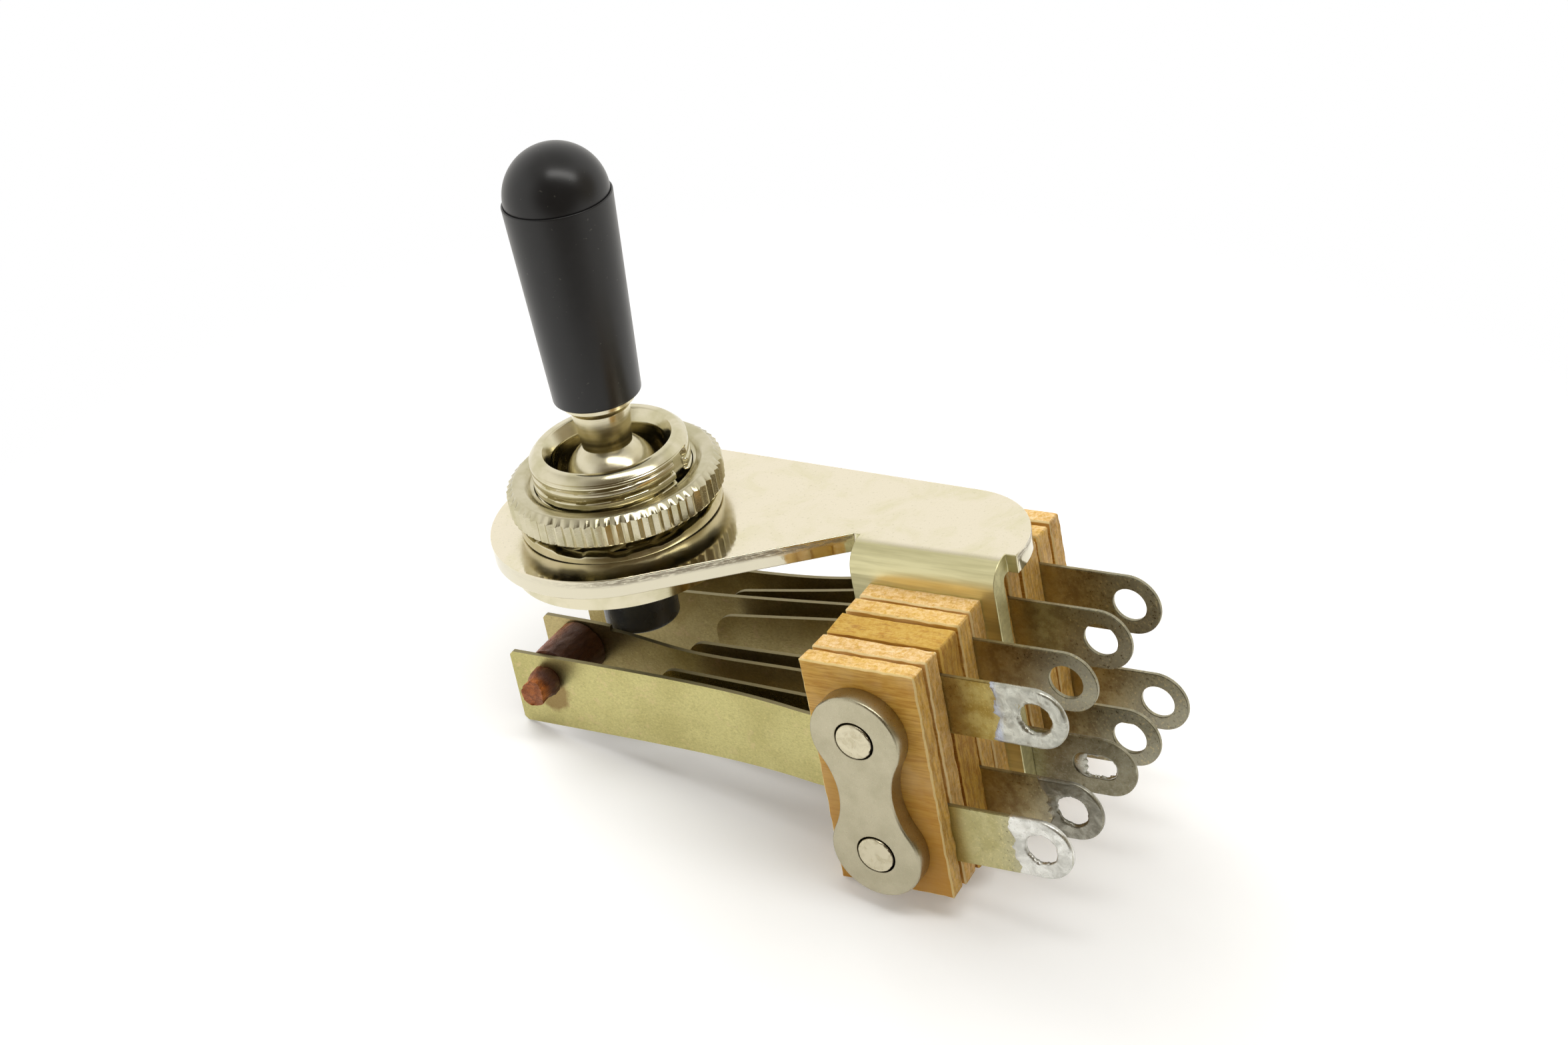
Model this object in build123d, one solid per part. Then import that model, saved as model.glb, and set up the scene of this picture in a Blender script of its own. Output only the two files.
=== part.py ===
from build123d import *
import os
from math import acos, asin, atan2, cos, degrees, hypot, pi, radians, sin, sqrt

# Guitar pickup selector switch: a panel-mount lever switch with two leaf stacks.
# Origin: on the bushing axis, at the plate's top face, which seats against the panel.
# +Z runs up the bushing to the lever tip, +X to the solder tabs, -Y is the near stack.
# Millimetres throughout.

# Plate and leg, one folded sheet
sheet_t = 1.5
plate_end_r = 10.05
plate_corner_r = 7.05
plate_corner_x = 25.4
plate_corner_y = 2.1
plate_end_y = 1.4
notch_x = 19.3
notch_y = 1.3
leg_x0 = 19.8
leg_x1 = 31.6
leg_y0 = -0.85
leg_rise = 1.1
leg_corner_r = 1.2
bend_r_in = 0.5

# Threaded bushing, whose walls are counted from the thread
thread_r = 5.95
bushing_top = 5.66
thread_chamfer = 0.25
bore_wall = 1.6
mouth_wall = 1.05
mouth_depth = 0.6
under_flange_w = 2.91
under_flange_t = 1.67
key_w = 2.4
key_depth = 0.8
key_angle = 16.0
plate_hole_gap = 0.05

# Hardware on the thread, its widths counted outwards from the thread
lock_tooth_in = 0.18
lock_tooth_l = 0.72
lock_tooth_root = 0.2
lock_rim_w = 0.8
lock_t = 0.62
lock_tooth_count = 12
lock_tooth_w = 1.5
lock_tooth_t = 0.5
lock_tooth_twist = 22.0
nut_w = 2.17
nut_t = 1.65
nut_bottom = 1.6
nut_bevel_out = 1.0
nut_bevel_in = 0.35
nut_bevel_depth = 0.55
knurl_count = 64
knurl_depth = 0.26
knurl_w = 0.42
thread_gap = 0.06

# Lever, its tip and its cam
pivot_z = 2.8
ball_play = 0.75
ball_gap = 0.15
lean_deg = 1.6
lever_throw_deg = 13.0
shank_r = 1.6
slot_gap = 0.3
neck_low_r = 2.0
neck_high_r = 2.25
neck_groove_r = 2.1
collar_r = 2.85
collar_z = 9.15
groove_w = 0.2
tip_bottom = 9.7
tip_low_r = 3.29
tip_seam_z = 25.7
tip_seam_r = 4.07
dome_r = 3.99
tip_bore_depth = 11.0
stud_r = 1.75
stud_gap = 0.05
cam_r = 3.0
cam_top = -4.4
cam_bottom = -9.1
cam_edge = 0.35
cam_bore_depth = 4.0

# Leaf stacks
spacer_w = 9.4
spacer_h = 19.0
spacer_x0 = 21.2
spacer_top = -2.5
spacer_t = (1.7, 1.6, 2.45, 1.65, 1.45)
spacer_edge = 0.12
leaf_t = 0.35
lug_t = 0.3
base_inset = 0.7
blade_w = 6.15
blade_top = -8.45
tab_w = 4.85
tab_hole_r = 1.33
tab_hole_x = 37.45
tab_end_x = 39.9
upper_tab_drop = 4.55
lower_tab_rise = 4.8
lug_slot_w = 2.1
lug_slot_l = 3.6
lug_slot_x = 36.6

# Rivets, their sleeves and the two outer clamp plates
rivet_x = 25.6
upper_rivet_drop = 5.3
lower_rivet_rise = 4.0
rivet_r = 1.42
rivet_proud = 0.12
rivet_dome = 0.1
sleeve_t = 0.5
fit_gap = 0.05
clamp_t = 1.5
clamp_lobe_r = 3.55
clamp_waist = 4.4
clamp_edge = 0.12
clamp_hole_gap = 0.1

# Blade lines of the leaves seen from above, as (x, y) from the stack towards the cam
near_blades = {
    "a": [(15.8, -2.97), (5.9, -3.3)],
    "b": [(15.0, -4.66), (6.2, -4.55), (0.0, -3.6), (-7.0, -3.35)],
    "c": [(18.6, -7.42), (5.7, -7.03)],
    "d": [(18.0, -9.1), (5.0, -8.15), (-7.0, -8.05)],
}
far_blades = {
    "a": [(14.5, 2.4), (5.3, 1.45)],
    "b": [(14.8, 4.4), (4.0, 3.55), (0.0, 3.4), (-7.8, 3.0)],
    "c": [(14.8, 6.6), (4.5, 4.75)],
    "d": [(14.0, 8.0), (5.0, 7.2), (-7.0, 7.1)],
}
far_droop = 0.8
short_leaves = "ac"
short_tip_r = 1.6
long_tip_chamfer = 0.3
paddle_rise = 0.35
paddle_x = -0.7

# Contact buttons riveted to the leaves
contact_x = 7.6
contact_r = 1.1
contact_h = 0.34

# Fibre pushers between the long leaves of each side
pusher_x = -3.75
pusher_z = -10.3
pusher_r = 2.1
pusher_stud_r = 0.9
pusher_stud_out = 2.6
pusher_gap = 0.05


def turned(points):
    """A solid turned about Z from a closed (radius, z) outline."""
    return revolve(Plane.XZ * make_face(Polyline(*points, close=True)), Axis.Z)


def upright_plate(face_xz, y0, t):
    """A flat piece in the XZ plane, from y0 to y0 + t."""
    return Pos(0, y0 + t, 0) * extrude(Plane.XZ * face_xz, t)


def along_y(x, z, r, y0, y1):
    """A round bar parallel to Y."""
    return Pos(x, (y0 + y1) / 2, z) * Rot(90, 0, 0) * Cylinder(r, abs(y1 - y0))


# Places that follow from the sizes
bore_r = thread_r - bore_wall
mouth_r = thread_r - mouth_wall
ball_r = bore_r - ball_play
nut_r = thread_r + nut_w
under_flange_r = thread_r + under_flange_w
bend_r_out = bend_r_in + sheet_t
bend_y = leg_y0 + bend_r_out
leg_y1 = leg_y0 + sheet_t
under_flange_z = -sheet_t - under_flange_t
spacer_x1 = spacer_x0 + spacer_w
spacer_bottom = spacer_top - spacer_h
leg_bottom = spacer_bottom + leg_rise
rivet_z = (spacer_top - upper_rivet_drop, spacer_bottom + lower_rivet_rise)
upper_tab_z = spacer_top - upper_tab_drop
lower_tab_z = spacer_bottom + lower_tab_rise
blade_mid = blade_top - blade_w / 2
sleeve_r = rivet_r + fit_gap + sleeve_t
sleeve_hole_r = sleeve_r + fit_gap
shank_swing = (pivot_z - under_flange_z) * sin(radians(lever_throw_deg))
slot_half_w = shank_r + slot_gap
slot_half_l = shank_r + shank_swing + slot_gap
lean = Pos(0, 0, pivot_z) * Rot(-lean_deg, 0, 0) * Pos(0, 0, -pivot_z)

nodes = {}


# Frame bracket: a plate with one round end, and a leg folded down between the stacks
def plate_outline():
    centre_angle = atan2(plate_corner_y, plate_corner_x)
    centre_gap = hypot(plate_corner_x, plate_corner_y)
    far_line = centre_angle - asin((plate_end_r - plate_corner_r) / centre_gap)
    far_normal = far_line + pi / 2
    near_angle = atan2(notch_y, notch_x) - acos(plate_end_r / hypot(notch_x, notch_y))
    far_1 = (plate_end_r * cos(far_normal), plate_end_r * sin(far_normal))
    far_2 = (
        plate_corner_x + plate_corner_r * cos(far_normal),
        plate_corner_y + plate_corner_r * sin(far_normal),
    )
    near_1 = (plate_end_r * cos(near_angle), plate_end_r * sin(near_angle))
    end_x = plate_corner_x + plate_corner_r
    edges = [
        CenterArc((0, 0), plate_end_r, degrees(far_normal), 360 + degrees(near_angle - far_normal)),
        CenterArc((plate_corner_x, plate_corner_y), plate_corner_r, 0, degrees(far_normal)),
        Line(far_1, far_2),
        Polyline(
            near_1,
            (notch_x, notch_y),
            (leg_x0, notch_y),
            (leg_x0, bend_y),
            (leg_x1, bend_y),
            (leg_x1, plate_end_y),
            (end_x, plate_end_y),
            (end_x, plate_corner_y),
        ),
    ]
    return make_face(edges)


def bracket():
    plate = extrude(plate_outline(), -sheet_t)
    bend_centre = (bend_y, -bend_r_out)
    ring = Circle(bend_r_out) - Circle(bend_r_in)
    corner = Pos(-bend_r_out / 2, bend_r_out / 2) * Rectangle(bend_r_out, bend_r_out)
    quarter = Pos(*bend_centre) * (ring & corner)
    bend = Pos(leg_x0, 0, 0) * extrude(Plane.YZ * quarter, leg_x1 - leg_x0)
    leg_h = -bend_r_out - leg_bottom
    leg = Pos((leg_x0 + leg_x1) / 2, leg_y0 + sheet_t / 2, leg_bottom + leg_h / 2)
    leg = leg * Box(leg_x1 - leg_x0, sheet_t, leg_h)
    leg = fillet(leg.edges().filter_by(Axis.Y).group_by(Axis.Z)[0], leg_corner_r)
    body = plate + bend + leg
    body -= Cylinder(thread_r + plate_hole_gap, 4 * sheet_t)
    for z in rivet_z:
        body -= along_y(rivet_x, z, sleeve_hole_r, leg_y0 - 1, leg_y1 + 1)
    return body


nodes["frame_bracket"] = bracket()


# Bushing: thread, flange under the plate, 45 degree ball seat and the slot that guides the lever
def bushing():
    outer = turned([
        (0, under_flange_z),
        (under_flange_r, under_flange_z),
        (under_flange_r, -sheet_t),
        (thread_r, -sheet_t),
        (thread_r, bushing_top - thread_chamfer),
        (thread_r - thread_chamfer, bushing_top),
        (0, bushing_top),
    ])
    seat_foot = pivot_z - (ball_r + ball_gap) * sqrt(2)
    bore = turned([
        (0, seat_foot),
        (bore_r, seat_foot + bore_r),
        (bore_r, bushing_top - mouth_depth),
        (mouth_r, bushing_top),
        (mouth_r, bushing_top + 1),
        (0, bushing_top + 1),
    ])
    slot_h = pivot_z - under_flange_z + 1
    slot_face = Rot(0, 0, 90) * SlotOverall(2 * slot_half_l, 2 * slot_half_w)
    slot = Pos(0, 0, under_flange_z - 1) * extrude(slot_face, slot_h)
    key_h = bushing_top + 1
    key = Rot(0, 0, key_angle) * Pos(thread_r, 0, key_h / 2) * Box(2 * key_depth, key_w, key_h)
    return outer - bore - slot - key


nodes["bushing"] = bushing()


# Internal-tooth lock washer and knurled nut
def lock_washer():
    tooth_in = thread_r + lock_tooth_in
    rim_r = tooth_in + lock_tooth_l
    rim = extrude(Circle(rim_r + lock_rim_w) - Circle(rim_r), lock_t)
    tooth_l = lock_tooth_l + lock_tooth_root
    tooth_mid = tooth_in + tooth_l / 2
    tooth_z = nut_bottom / 2
    for i in range(lock_tooth_count):
        tooth = Rot(lock_tooth_twist, 0, 0) * Box(tooth_l, lock_tooth_w, lock_tooth_t)
        rim += Rot(0, 0, i * 360 / lock_tooth_count) * Pos(tooth_mid, 0, tooth_z) * tooth
    return rim


def knurled_nut():
    top = nut_bottom + nut_t
    blank = turned([
        (thread_r + thread_gap, nut_bottom),
        (nut_r, nut_bottom),
        (nut_r, top),
        (thread_r + nut_bevel_out, top),
        (thread_r + nut_bevel_in, top - nut_bevel_depth),
        (thread_r + thread_gap, top - nut_bevel_depth),
    ])
    groove = make_face(Polyline(
        (nut_r - knurl_depth, 0),
        (nut_r + knurl_depth, -knurl_w),
        (nut_r + knurl_depth, knurl_w),
        close=True,
    ))
    grooves = Sketch() + [Rot(0, 0, i * 360 / knurl_count) * groove for i in range(knurl_count)]
    return blank - Pos(0, 0, nut_bottom) * extrude(grooves, nut_t)


nodes["lock_washer"] = lock_washer()
nodes["knurled_nut"] = knurled_nut()


# Lever: ball, shank, neck and collar turned in one, with the stud that the tip screws on
def lever():
    ball_foot = pivot_z - sqrt(ball_r**2 - shank_r**2) + 0.2
    ball_head = pivot_z + sqrt(ball_r**2 - neck_low_r**2) - 0.1
    stud_top = tip_bottom + tip_bore_depth - 0.5
    stem = turned([
        (0, cam_top - cam_bore_depth + 0.2),
        (shank_r, cam_top - cam_bore_depth + 0.2),
        (shank_r, ball_foot),
        (0, ball_foot),
    ])
    neck = turned([
        (0, pivot_z),
        (neck_low_r, pivot_z),
        (neck_low_r, ball_head),
        (neck_high_r, collar_z - groove_w),
        (neck_groove_r, collar_z - groove_w),
        (neck_groove_r, collar_z),
        (neck_high_r + 0.1, collar_z),
        (collar_r, tip_bottom),
        (stud_r, tip_bottom),
        (stud_r, stud_top),
        (0, stud_top),
    ])
    return lean * (Pos(0, 0, pivot_z) * Sphere(ball_r) + stem + neck)


def lever_tip():
    shell = turned([(0, tip_bottom), (tip_low_r, tip_bottom), (tip_seam_r, tip_seam_z), (0, tip_seam_z)])
    dome = Pos(0, 0, tip_seam_z) * Sphere(dome_r, arc_size1=0, align=(Align.CENTER, Align.CENTER, Align.MIN))
    bore_r_tip = stud_r + stud_gap
    bore = Pos(0, 0, tip_bottom + tip_bore_depth / 2) * Cylinder(bore_r_tip, tip_bore_depth)
    return lean * (shell + dome - bore)


def cam():
    height = cam_top - cam_bottom
    body = Pos(0, 0, (cam_top + cam_bottom) / 2) * Cylinder(cam_r, height)
    body = chamfer(body.edges().group_by(Axis.Z)[0], cam_edge)
    bore = Pos(0, 0, cam_top - cam_bore_depth / 2) * Cylinder(shank_r + stud_gap, cam_bore_depth)
    return lean * (body - bore)


nodes["lever"] = lever()
nodes["lever_tip"] = lever_tip()
nodes["lever_cam"] = cam()


# Stack planes: inner face of each spacer, and middle plane of each leaf, by side
def stack_planes(side):
    face = leg_y0 if side < 0 else leg_y1 + lug_t
    spacers = []
    leaves = []
    for t in spacer_t:
        spacers.append(face)
        face += side * t
        leaves.append(face + side * leaf_t / 2)
        face += side * leaf_t
    outer_face = face - side * leaf_t
    return spacers, leaves[:4], outer_face


def holed(solid, radius, y0, y1):
    for z in rivet_z:
        solid -= along_y(rivet_x, z, radius, y0 - 1, y1 + 1)
    return solid


def spacer(face, side, t):
    y0 = min(face, face + side * t)
    mid = Pos(spacer_x0 + spacer_w / 2, y0 + t / 2, spacer_top - spacer_h / 2)
    block = mid * Box(spacer_w, t, spacer_h)
    block = chamfer(block.edges(), spacer_edge)
    return holed(block, sleeve_hole_r, y0, y0 + t)


# Leaf: a base between two spacers, a tab with its eye, and a blade bent towards the cam
def tab_face(z):
    strip_x0 = spacer_x1 - 2 * base_inset
    strip = Pos((strip_x0 + tab_end_x) / 2, z) * Rectangle(tab_end_x - strip_x0, tab_w)
    return fillet(strip.vertices().group_by(Axis.X)[-1], tab_w / 2 - 0.01)


def base_face():
    w = spacer_w - 2 * base_inset
    h = spacer_h - 2 * base_inset
    return Pos(spacer_x0 + spacer_w / 2, spacer_top - spacer_h / 2) * Rectangle(w, h)


def blade_sheet(y_plane, points, z0, z1):
    """The bent strip: its line in the XY plane, thickened by half a leaf to each side."""
    root_x = spacer_x0 + 1.5 * base_inset
    line = [(spacer_x0, y_plane)] + points
    end_x, end_y = line[-1]
    last_x, last_y = line[-2]
    sides = []
    for shift in (-leaf_t / 2, leaf_t / 2):
        shifted = [(x, y + shift) for x, y in line]
        sides.append(Line((root_x, y_plane + shift), shifted[0]))
        sides.append(Spline(*shifted, tangents=[(-1, 0), (end_x - last_x, end_y - last_y)]))
    half = leaf_t / 2
    root = Line((root_x, y_plane - half), (root_x, y_plane + half))
    tip = Line((end_x, end_y - half), (end_x, end_y + half))
    return Pos(0, 0, z0) * extrude(make_face(sides + [root, tip]), z1 - z0)


def blade_face(tip_x, droop, name):
    """The strip's outline in the XZ plane: round tips on short leaves, a paddle on the inner long one."""
    root_x = spacer_x0 + 2 * base_inset
    low = blade_top - blade_w
    slope = droop / (spacer_x0 - tip_x)
    rise = paddle_rise if name == "b" else 0.0
    step_z = blade_top - slope * (spacer_x0 - paddle_x)
    top = [(tip_x, blade_top - droop + rise)]
    if rise:
        top += [(paddle_x, step_z + rise), (paddle_x, step_z)]
    top += [(spacer_x0, blade_top), (root_x, blade_top)]
    bottom = [(root_x, low), (spacer_x0, low), (tip_x, low - droop)]
    outline = make_face(Polyline(*top, *bottom, close=True))
    corners = outline.vertices().group_by(Axis.X)[0]
    if name in short_leaves:
        return fillet(corners, short_tip_r)
    return chamfer(corners, long_tip_chamfer)


def leaf(side, name, y_plane, points):
    tab_z = upper_tab_z if name in short_leaves else lower_tab_z
    tip_x = points[-1][0]
    droop = far_droop if side > 0 else 0.0
    flat = base_face() + tab_face(tab_z)
    flat -= Pos(tab_hole_x, tab_z) * Circle(tab_hole_r)
    for z in rivet_z:
        flat -= Pos(rivet_x, z) * Circle(sleeve_hole_r)
    plate = upright_plate(flat, y_plane - leaf_t / 2, leaf_t)
    sheet = blade_sheet(y_plane, points, blade_top - blade_w - 2, blade_top + 2)
    window = upright_plate(blade_face(tip_x, droop, name), -20, 40)
    blade = sheet & window
    if name not in short_leaves:
        blade -= along_y(pusher_x, pusher_z - droop, pusher_stud_r + pusher_gap, -20, 20)
    return plate + blade


def blade_y(blade, x):
    """The middle of a leaf's blade at x, below any hole in it."""
    probe_z = blade_top - blade_w + long_tip_chamfer
    probe = blade & along_y(x, probe_z, leaf_t / 2, -20, 20)
    return probe.center().Y


# Contact button on a leaf, facing its partner and seated on the bent blade
def contact(blade, direction, z):
    middle = blade_y(blade, contact_x)
    outer = middle + direction * (leaf_t / 2 + contact_h)
    button = along_y(contact_x, z, contact_r, middle, outer)
    end = -1 if direction > 0 else 0
    return (button - blade).solids().sort_by(Axis.Y)[end]


# Pusher: a fibre rod between the long leaves, with a stud through each of them
def rod_end(blade, direction):
    """Where the rod stops, clear of the leaf that it points at in the given direction."""
    nearest = min(direction * blade_y(blade, pusher_x + shift) for shift in (-pusher_r, pusher_r))
    return direction * (nearest - leaf_t / 2 - pusher_gap)


def pusher(side, inner_blade, outer_blade, droop):
    z = pusher_z - droop
    rod = along_y(pusher_x, z, pusher_r, rod_end(inner_blade, -side), rod_end(outer_blade, side))
    stud_in = blade_y(inner_blade, pusher_x) - side * leaf_t / 2
    stud_out = blade_y(outer_blade, pusher_x) + side * pusher_stud_out
    return rod + along_y(pusher_x, z, pusher_stud_r, stud_in, stud_out)


for side, label, blades in ((-1, "near", near_blades), (1, "far", far_blades)):
    spacer_faces, leaf_planes, outer_face = stack_planes(side)
    for i, (face, t) in enumerate(zip(spacer_faces, spacer_t)):
        nodes[f"{label}_spacer_{i + 1}"] = spacer(face, side, t)
    droop = far_droop if side > 0 else 0.0
    for name, y_plane in zip("abcd", leaf_planes):
        nodes[f"{label}_leaf_{name}"] = leaf(side, name, y_plane, blades[name])
    for name in "abcd":
        out = side if name in short_leaves else -side
        blade = nodes[f"{label}_leaf_{name}"]
        nodes[f"{label}_contact_{name}"] = contact(blade, out, blade_mid - droop / 2)
    long_leaves = (nodes[f"{label}_leaf_b"], nodes[f"{label}_leaf_d"])
    nodes[f"{label}_pusher"] = pusher(side, *long_leaves, droop)


# Ground lug: a flat tab with a slot eye, held against the far face of the leg
def ground_lug():
    flat = base_face() + tab_face(lower_tab_z)
    flat -= Pos(lug_slot_x, lower_tab_z) * SlotOverall(lug_slot_l, lug_slot_w)
    for z in rivet_z:
        flat -= Pos(rivet_x, z) * Circle(sleeve_hole_r)
    return upright_plate(flat, leg_y1, lug_t)


nodes["ground_lug"] = ground_lug()


# Clamp plates: waisted links over the rivets, one outside each stack
def clamp_face():
    mid_z = (rivet_z[0] + rivet_z[1]) / 2
    half_pitch = (rivet_z[0] - rivet_z[1]) / 2
    half_waist = clamp_waist / 2
    waist_r = (half_waist**2 + half_pitch**2 - clamp_lobe_r**2) / (2 * (clamp_lobe_r - half_waist))
    reach = half_waist + waist_r
    side_x = clamp_lobe_r * reach / (waist_r + clamp_lobe_r)
    side_z = half_pitch - clamp_lobe_r * half_pitch / (waist_r + clamp_lobe_r)
    face = Pos(rivet_x, mid_z) * Rectangle(2 * side_x, 2 * side_z)
    for z in rivet_z:
        face += Pos(rivet_x, z) * Circle(clamp_lobe_r)
    for x in (rivet_x - reach, rivet_x + reach):
        face -= Pos(x, mid_z) * Circle(waist_r)
    for z in rivet_z:
        face -= Pos(rivet_x, z) * Circle(rivet_r + clamp_hole_gap)
    return face


def clamp_plate(y0, side):
    plate = upright_plate(clamp_face(), y0, clamp_t)
    outer_edges = plate.faces().sort_by(Axis.Y)[-1 if side > 0 else 0].outer_wire().edges()
    return chamfer(outer_edges, clamp_edge)


near_outer = stack_planes(-1)[2]
far_outer = stack_planes(1)[2]
nodes["near_clamp_plate"] = clamp_plate(near_outer - clamp_t, -1)
nodes["far_clamp_plate"] = clamp_plate(far_outer, 1)

# Rivets through both stacks, each in an insulating sleeve
for name, z in zip(("upper", "lower"), rivet_z):
    y0 = near_outer - clamp_t - rivet_proud
    y1 = far_outer + clamp_t + rivet_proud
    rivet = along_y(rivet_x, z, rivet_r, y0, y1)
    ends = rivet.edges().filter_by(GeomType.CIRCLE)
    nodes[f"{name}_rivet"] = chamfer(ends, rivet_dome)
    sleeve = along_y(rivet_x, z, sleeve_r, near_outer, far_outer)
    nodes[f"{name}_sleeve"] = sleeve - along_y(rivet_x, z, rivet_r + fit_gap, near_outer - 1, far_outer + 1)

os.makedirs("parts", exist_ok=True)
for name, solid in nodes.items():
    export_step(solid, f"parts/{name}.step")
print(len(nodes), "nodes written")
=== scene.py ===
"""The looks of a guitar pickup selector switch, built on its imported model, in metres."""
import math
from contextlib import contextmanager

import bmesh
import bpy
from mathutils import Matrix, Quaternion, Vector, noise


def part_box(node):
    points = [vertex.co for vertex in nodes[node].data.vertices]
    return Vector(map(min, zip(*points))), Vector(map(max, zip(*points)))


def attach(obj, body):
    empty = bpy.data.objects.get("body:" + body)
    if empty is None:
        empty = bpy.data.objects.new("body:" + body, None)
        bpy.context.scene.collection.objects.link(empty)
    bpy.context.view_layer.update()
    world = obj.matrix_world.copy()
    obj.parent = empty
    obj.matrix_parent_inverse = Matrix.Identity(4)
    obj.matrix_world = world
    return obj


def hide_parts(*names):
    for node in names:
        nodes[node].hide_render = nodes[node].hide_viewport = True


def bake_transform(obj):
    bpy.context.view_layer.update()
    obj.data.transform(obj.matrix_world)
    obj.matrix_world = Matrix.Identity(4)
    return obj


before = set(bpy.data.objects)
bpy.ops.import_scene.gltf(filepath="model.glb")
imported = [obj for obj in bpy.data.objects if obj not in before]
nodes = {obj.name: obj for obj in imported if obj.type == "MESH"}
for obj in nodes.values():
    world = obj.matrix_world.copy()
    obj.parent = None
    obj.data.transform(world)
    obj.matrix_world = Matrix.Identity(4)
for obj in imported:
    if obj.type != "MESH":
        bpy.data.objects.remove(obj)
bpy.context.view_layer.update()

MM = 0.001
PER_M = 1000.0
BODY = "frame"
TURN = 2 * math.pi
FLATNESS = math.radians(0.05)

# Camera, at the photograph's angle
CAMERA_AT = Vector((146.9, -182.44, 127.5)) * MM
CAMERA_LOOKS_AT = Vector((10.34, 5.53, -2.86)) * MM
CAMERA_ROLL = math.radians(11.45)
CAMERA_LENS = 82.17

# Bushing and its hardware, in millimetres
BUSHING_COLUMNS = 216
BUSHING_ROWS = 100
THREAD_R = 5.95
THREAD_DEPTH = 0.38
THREAD_PITCH = 0.794
THREAD_END = 5.4
THREAD_FADE = 0.75
BUSHING_TOP = 6.08
LIP_H = 0.5
LIP_W = 0.55
LIP_GROOVE_D = 0.12
LIP_GROOVE_W = 0.1
RING_INNER_R = 4.9
MOUTH_DEPTH = 0.95
BORE_R = 4.35
SEAT_TOP = 1.847
KEY_ANGLE = math.radians(7.0)
KEY_FLAT = 5.53
KEY_HALF_W = 0.85
KEY_HALF_ANGLE = math.asin(KEY_HALF_W / THREAD_R)
NUT_R = 8.12
NUT_BOTTOM = 1.6
NUT_TOP = 3.8
NUT_CHAMFER_W = 0.6
NUT_CHAMFER_H = 0.5
NUT_BEVEL_R = 6.75
NUT_BEVEL_LOW_R = 6.25
NUT_BEVEL_DEPTH = 0.4
NUT_BORE_R = 6.01
NUT_EDGE = 0.15
KNURL_COUNT = 64
KNURL_DEPTH = 0.25
WASHER_R = 7.65
WASHER_RIM_R = 6.85
WASHER_T = 0.36
WASHER_WAVES = 12
WASHER_WAVE_H = 0.18
WASHER_BOW = 0.62
WASHER_BOW_ANGLE = math.radians(36.0)
WASHER_TOOTH = (0.35, 0.75, 0.2)
WASHER_TOOTH_AT = (6.3, 0.0, 0.26)
WASHER_TOOTH_TWIST = math.radians(14.0)

# Lever, in millimetres along its own axis
PIVOT_Z = 2.8
LEAN = math.radians(-1.6)
BALL_R = 3.6
NECK_LOW_R = 1.88
NECK_HIGH_R = 2.25
NECK_FLARE_Z = 6.4
COLLAR_Z = 9.33
COLLAR_LOW_R = 2.72
COLLAR_R = 2.76
GROOVE_W = 0.2
GROOVE_D = 0.6
TIP_BOTTOM = 9.86
TIP_LOW_R = 3.29
TIP_SEAM_Z = 25.7
TIP_SEAM_R = 4.07
DOME_R = 3.9
DOME_Z = 25.79
SHANK_R = 1.6
SHANK_IN_CAM = 3.8
CAM_R = 3.0
CAM_TOP = -4.4
CAM_BOTTOM = -9.1
CAM_LOW_R = 2.86
CAM_STEP_LOW_Z = -7.5
CAM_STEP_TOP_Z = -6.0

# Bracket's leg, stacks and pushers, in millimetres
SHEET_T = 1.5
LEG_X = 19.2
STACK_X0 = 21.2
STACK_X1 = 30.6
RIVET_X = 25.6
RIVET_Z = (-7.8, -17.5)
EYE_X = 37.45
EYE_R = 1.33
TAB_HALF_W = 2.425
UPPER_TAB_Z = -7.05
LOWER_TAB_Z = -16.7
LEAF_T = 0.35
PUSHER_X = -3.75
PUSHER_Z = -11.6
STUD_R = 0.9
STUD_OUT = 2.425
STUD_HEAD_R = 1.22
SLOT_X = 36.6
SLOT_HALF_L = 1.8
SLOT_HALF_W = 1.05


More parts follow.
